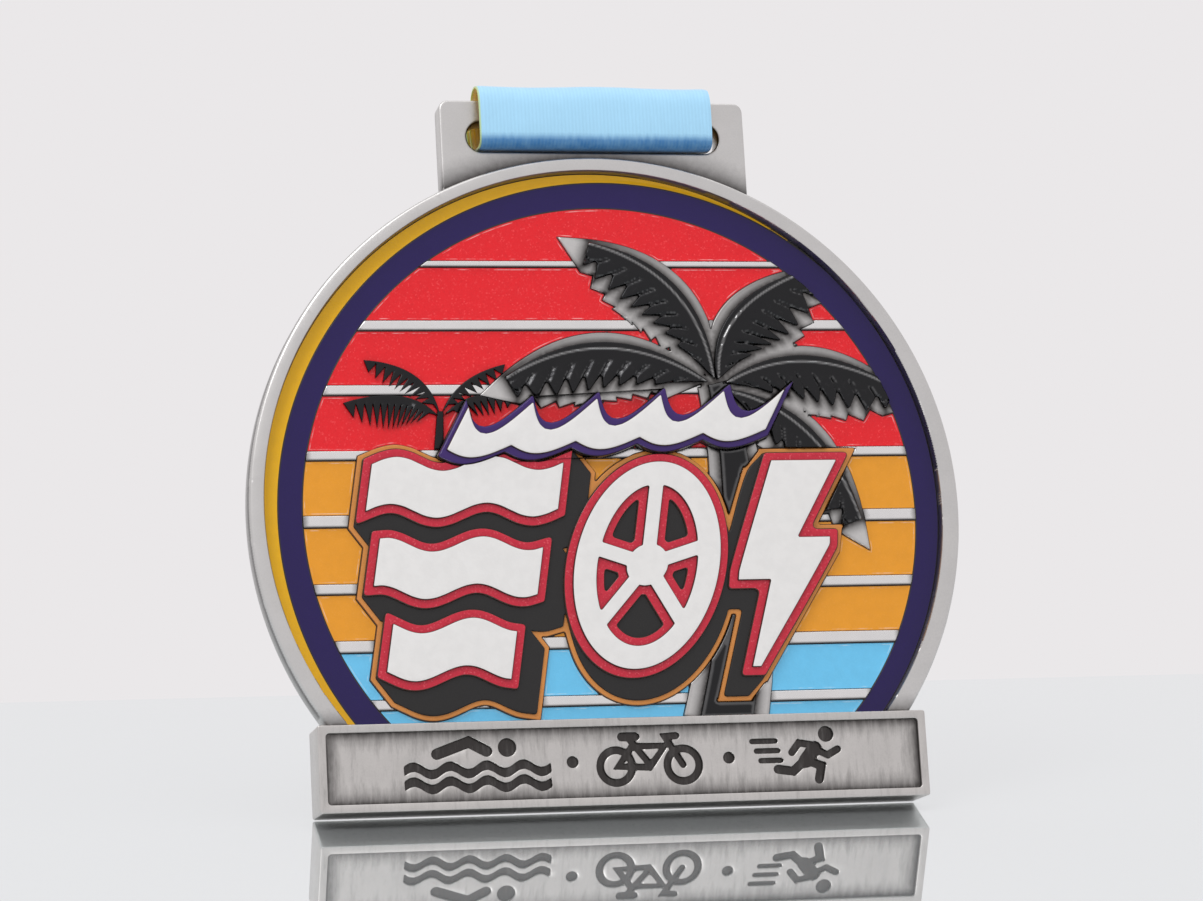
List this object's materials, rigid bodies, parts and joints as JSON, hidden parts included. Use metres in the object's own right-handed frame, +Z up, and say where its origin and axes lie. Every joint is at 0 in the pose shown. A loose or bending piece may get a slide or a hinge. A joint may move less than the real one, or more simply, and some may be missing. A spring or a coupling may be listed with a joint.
{
  "type": "finisher medal",
  "caption": "Round sports finisher medal with a flat base bar it stands on, colour-filled palm and sunset relief, and a neck ribbon looped through a slotted hanger.",
  "frame": {"origin": "middle of the base bar's underside: middle of its width and of its depth", "axes": "+Z up when the medal stands on its bar; the coloured front faces -Y; +X to the right as seen from the front"},
  "size_m": [0.09, 0.0151, 0.0917],
  "materials": {
    "antique_silver": "satin antique silver plating on a zinc casting, darker in the recesses",
    "bright_silver": "polished raised metal line",
    "shaded_silver": "antique silver, rubbed bright at the edges and dark beside the fronds",
    "antique_black": "black antique patina, semi-gloss",
    "yellow_enamel": "glossy soft enamel",
    "navy_enamel": "glossy soft enamel",
    "red_enamel": "glossy soft enamel with fine glitter",
    "orange_enamel": "glossy soft enamel",
    "blue_enamel": "glossy soft enamel",
    "keyline_enamel": "glossy soft enamel",
    "black_enamel": "satin soft enamel",
    "outline_enamel": "soft enamel with fine glitter",
    "swash_enamel": "glossy soft enamel",
    "white_enamel": "smooth white enamel",
    "satin_ribbon": "printed satin polyester ribbon with a fine rib",
    "tie_band": "white woven elastic band"
  },
  "bodies": {
    "medal": {"cast_body": "antique_silver", "base_bar": "antique_silver", "stripe_bars": "bright_silver", "yellow_crescent": "yellow_enamel", "navy_ring": "navy_enamel", "red_band_1": "red_enamel", "red_band_2": "red_enamel", "red_band_3": "red_enamel", "red_band_4": "red_enamel", "orange_band_1": "orange_enamel", "orange_band_2": "orange_enamel", "orange_band_3": "orange_enamel", "blue_band_1": "blue_enamel", "blue_band_2": "blue_enamel", "palm_halo": "shaded_silver", "palm_trunk": "antique_black", "palm_frond_1": "antique_black", "palm_frond_2": "antique_black", "palm_frond_3": "antique_black", "palm_frond_4": "antique_black", "palm_frond_5": "antique_black", "small_palm": "antique_black", "emblem_keyline": "keyline_enamel", "emblem_shade": "black_enamel", "wave_outline": "outline_enamel", "wheel_outline": "outline_enamel", "bolt_outline": "outline_enamel", "wave_face": "white_enamel", "wheel_face": "white_enamel", "bolt_face": "white_enamel", "swash_outline": "swash_enamel", "swash_face": "white_enamel", "ribbon_wrap": "satin_ribbon"},
    "ribbon": {"ribbon_lead": "satin_ribbon", "ribbon_hank": "satin_ribbon", "hank_tie": "tie_band", "ribbon_seam": "satin_ribbon"}
  },
  "joints": [
    {"name": "ribbon_swing", "type": "hinge", "parent": "medal", "child": "ribbon", "pos_m": [0, 0.0045, 0.087], "axis": [1, 0, 0], "range_deg": [0, 160]}
  ]
}
